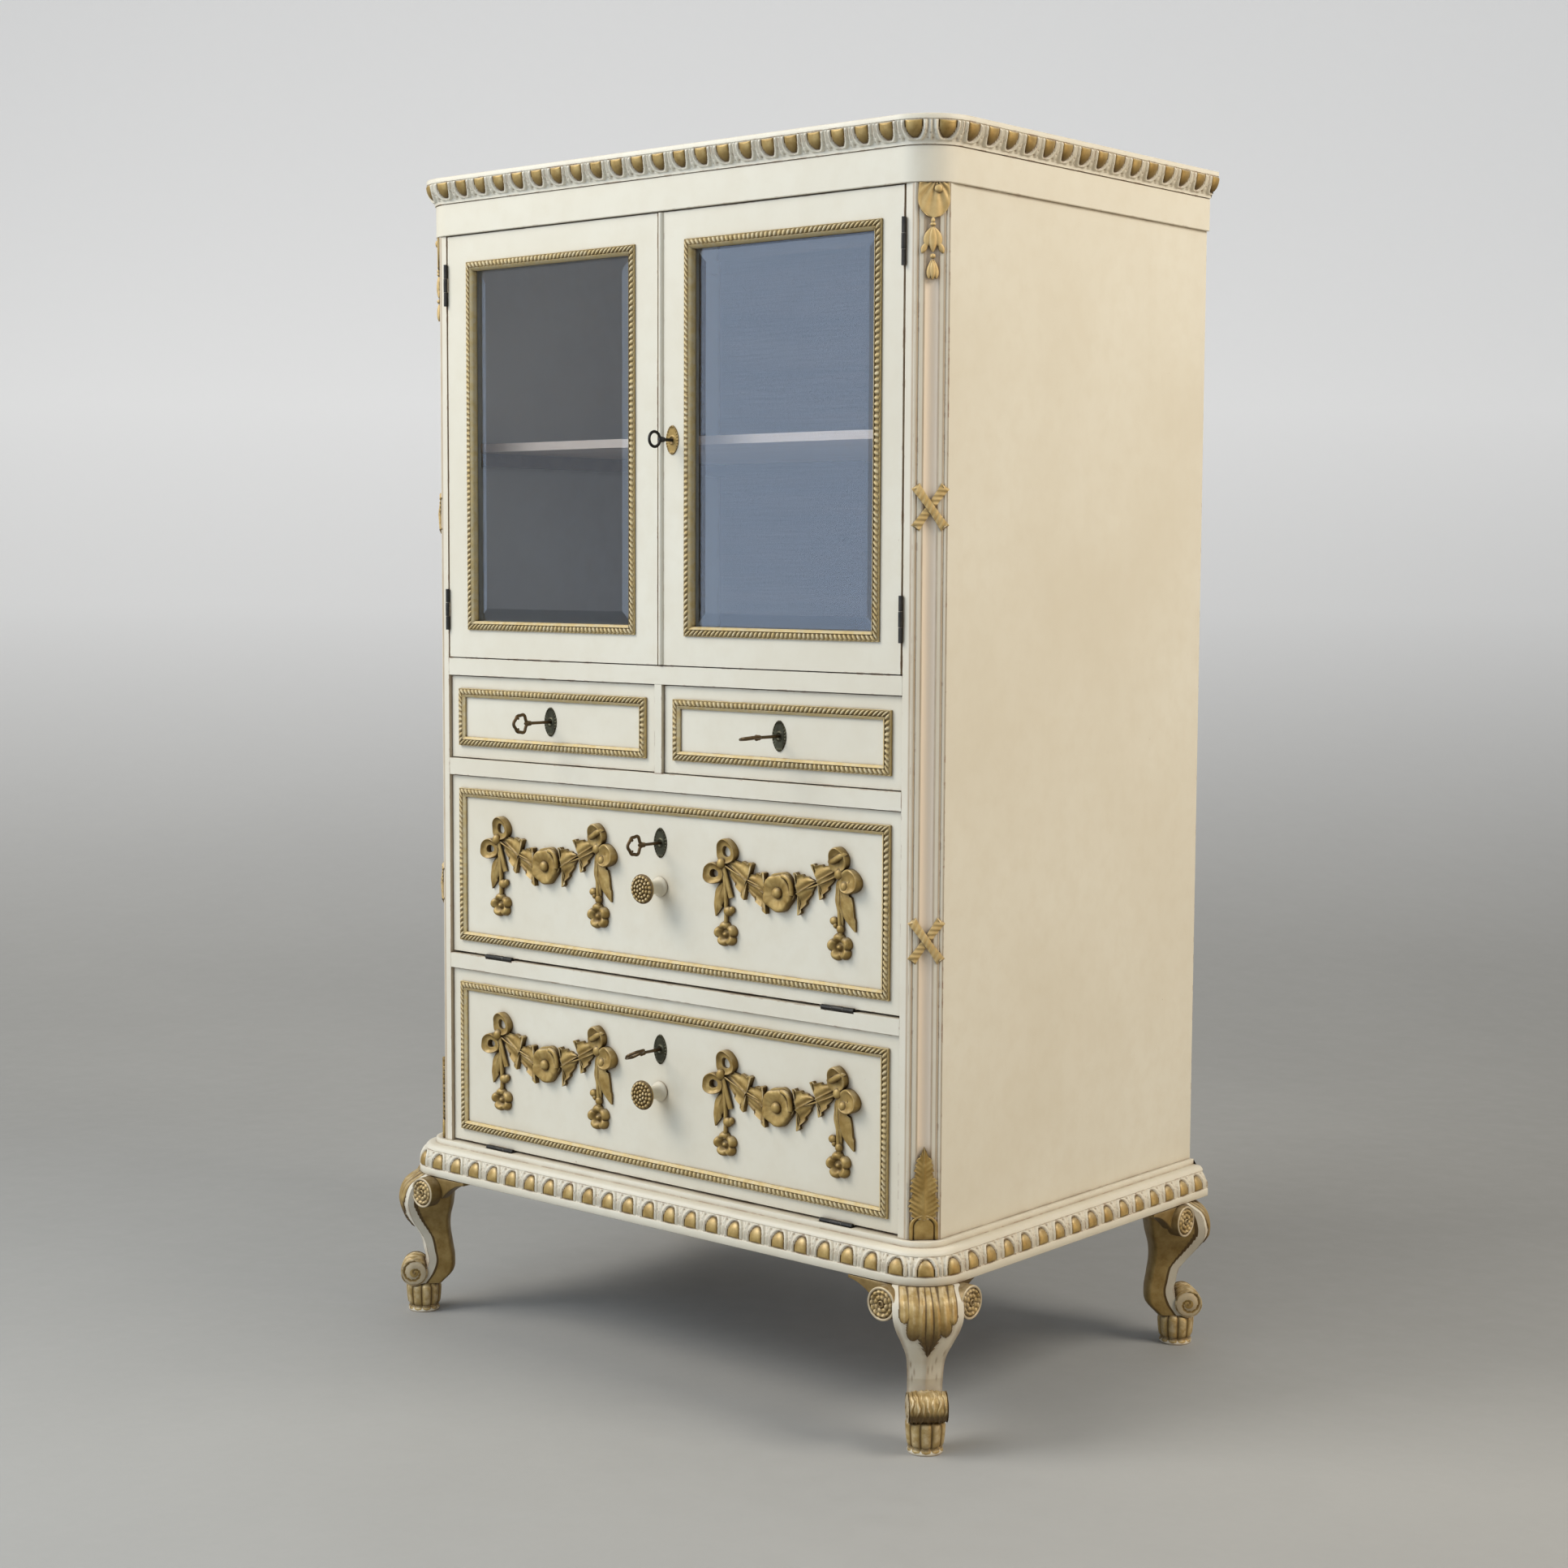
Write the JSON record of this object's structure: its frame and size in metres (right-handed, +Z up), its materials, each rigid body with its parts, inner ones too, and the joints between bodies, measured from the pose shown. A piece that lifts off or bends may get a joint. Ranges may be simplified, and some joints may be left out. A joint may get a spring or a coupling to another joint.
{
  "type": "display cabinet",
  "caption": "Cream and gilt display cabinet on carved cabriole legs, with two glazed doors, small drawers and fall-front flaps bearing gilded garlands, and keys in the locks.",
  "frame": {"origin": "On the floor, under the middle of the whole piece, keys included.", "axes": "+Z is up, -Y is the front with the doors, and +X is to the right of someone facing the front."},
  "size_m": [0.9712, 0.6738, 1.55],
  "materials": {
    "cream_paint": "aged cream paint on wood, glazed brown in the recesses and chipped at the edges",
    "worn_gilding": "worn gilding on carved wood, brown where it is rubbed",
    "dark_stained_wood": "dark stained, plain",
    "pale_wood": "pale, plain",
    "bevelled_glass": "clear, bevelled round the edge",
    "dark_bronze": "dark brown patina",
    "black_iron": "blackened"
  },
  "bodies": {
    "cabinet": {"back_panel": "dark_stained_wood", "base_board": "dark_stained_wood", "base_moulding": "cream_paint", "cornice": "cream_paint", "display_floor": "dark_stained_wood", "drawer_deck": "dark_stained_wood", "drawer_divider": "cream_paint", "flap_deck": "dark_stained_wood", "frieze": "cream_paint", "leg_front_left": "cream_paint", "leg_front_right": "cream_paint", "leg_rear_left": "cream_paint", "leg_rear_right": "cream_paint", "post_left": "cream_paint", "post_right": "cream_paint", "rail_lower": "cream_paint", "rail_middle": "cream_paint", "rail_upper": "cream_paint", "shelf": "pale_wood", "shelf_cleat_left": "dark_stained_wood", "shelf_cleat_right": "dark_stained_wood", "side_panel_left": "cream_paint", "side_panel_right": "cream_paint", "top_board": "cream_paint", "door_hinge_left_lower": "black_iron", "door_hinge_left_upper": "black_iron", "door_hinge_right_lower": "black_iron", "door_hinge_right_upper": "black_iron", "flap_hinge_lower_left": "black_iron", "flap_hinge_lower_right": "black_iron", "flap_hinge_upper_left": "black_iron", "flap_hinge_upper_right": "black_iron"},
    "door_left": {"door_frame_left": "cream_paint", "glass_left": "bevelled_glass", "door_bead_left": "worn_gilding"},
    "drawer_left": {"drawer_front_left": "cream_paint", "drawer_box_left": "pale_wood"},
    "door_right": {"door_frame_right": "cream_paint", "glass_right": "bevelled_glass", "door_bead_right": "worn_gilding"},
    "drawer_right": {"drawer_front_right": "cream_paint", "drawer_box_right": "pale_wood"},
    "flap_lower": {"flap_panel_lower": "cream_paint", "knob_lower": "worn_gilding", "garland_lower_left": "worn_gilding", "garland_lower_right": "worn_gilding"},
    "flap_upper": {"flap_panel_upper": "cream_paint", "knob_upper": "worn_gilding", "garland_upper_left": "worn_gilding", "garland_upper_right": "worn_gilding"},
    "key_turning_door": {"key_door": "black_iron"},
    "bolt_sliding_door": {"bolt_door": "black_iron"},
    "key_turning_drawer_left": {"key_drawer_left": "dark_bronze"},
    "bolt_sliding_drawer_left": {"bolt_drawer_left": "black_iron"},
    "key_turning_drawer_right": {"key_drawer_right": "dark_bronze"},
    "bolt_sliding_drawer_right": {"bolt_drawer_right": "black_iron"},
    "key_turning_flap_lower": {"key_flap_lower": "dark_bronze"},
    "bolt_sliding_flap_lower": {"bolt_flap_lower": "black_iron"},
    "key_turning_flap_upper": {"key_flap_upper": "dark_bronze"},
    "bolt_sliding_flap_upper": {"bolt_flap_upper": "black_iron"}
  },
  "joints": [
    {"name": "door_left_hinge", "type": "hinge", "parent": "cabinet", "child": "door_left", "pos_m": [-0.3885, -0.27485, 1.193], "axis": [0, 0, -1], "range_deg": [0, 110]},
    {"name": "door_right_hinge", "type": "hinge", "parent": "cabinet", "child": "door_right", "pos_m": [0.3885, -0.27485, 1.193], "axis": [0, 0, 1], "range_deg": [0, 110]},
    {"name": "drawer_left_slide", "type": "slide", "parent": "cabinet", "child": "drawer_left", "axis": [0, -1, 0], "range_m": [0, 0.33]},
    {"name": "drawer_right_slide", "type": "slide", "parent": "cabinet", "child": "drawer_right", "axis": [0, -1, 0], "range_m": [0, 0.33]},
    {"name": "flap_lower_hinge", "type": "hinge", "parent": "cabinet", "child": "flap_lower", "pos_m": [0, -0.27035, 0.2465], "axis": [1, 0, 0], "range_deg": [0, 90]},
    {"name": "flap_upper_hinge", "type": "hinge", "parent": "cabinet", "child": "flap_upper", "pos_m": [0, -0.27035, 0.5085], "axis": [1, 0, 0], "range_deg": [0, 90]},
    {"name": "key_door_turn", "type": "hinge", "parent": "door_right", "child": "key_turning_door", "pos_m": [0.0248, -0.27205, 1.193], "axis": [0, 1, 0], "range_deg": [0, 90]},
    {"name": "bolt_door_throw", "type": "slide", "parent": "door_right", "child": "bolt_sliding_door", "axis": [-1, 0, 0], "range_m": [0, 0.008]},
    {"name": "key_drawer_left_turn", "type": "hinge", "parent": "drawer_left", "child": "key_turning_drawer_left", "pos_m": [-0.198, -0.26705, 0.8315], "axis": [0, 1, 0], "range_deg": [0, 90]},
    {"name": "bolt_drawer_left_throw", "type": "slide", "parent": "drawer_left", "child": "bolt_sliding_drawer_left", "axis": [0, 0, 1], "range_m": [0, 0.008]},
    {"name": "key_drawer_right_turn", "type": "hinge", "parent": "drawer_right", "child": "key_turning_drawer_right", "pos_m": [0.198, -0.26705, 0.8315], "axis": [0, 1, 0], "range_deg": [0, 90]},
    {"name": "bolt_drawer_right_throw", "type": "slide", "parent": "drawer_right", "child": "bolt_sliding_drawer_right", "axis": [0, 0, 1], "range_m": [0, 0.008]},
    {"name": "key_flap_lower_turn", "type": "hinge", "parent": "flap_lower", "child": "key_turning_flap_lower", "pos_m": [0, -0.26705, 0.421], "axis": [0, 1, 0], "range_deg": [0, 90]},
    {"name": "bolt_flap_lower_throw", "type": "slide", "parent": "flap_lower", "child": "bolt_sliding_flap_lower", "axis": [0, 0, 1], "range_m": [0, 0.008]},
    {"name": "key_flap_upper_turn", "type": "hinge", "parent": "flap_upper", "child": "key_turning_flap_upper", "pos_m": [0, -0.26705, 0.6865], "axis": [0, 1, 0], "range_deg": [0, 90]},
    {"name": "bolt_flap_upper_throw", "type": "slide", "parent": "flap_upper", "child": "bolt_sliding_flap_upper", "axis": [0, 0, 1], "range_m": [0, 0.008]}
  ],
  "couplings": [
    {"joint": "key_door_turn", "follows": "bolt_door_throw", "rad_per_m": 196.35},
    {"joint": "key_drawer_left_turn", "follows": "bolt_drawer_left_throw", "rad_per_m": 196.35},
    {"joint": "key_drawer_right_turn", "follows": "bolt_drawer_right_throw", "rad_per_m": 196.35},
    {"joint": "key_flap_lower_turn", "follows": "bolt_flap_lower_throw", "rad_per_m": 196.35},
    {"joint": "key_flap_upper_turn", "follows": "bolt_flap_upper_throw", "rad_per_m": 196.35}
  ]
}
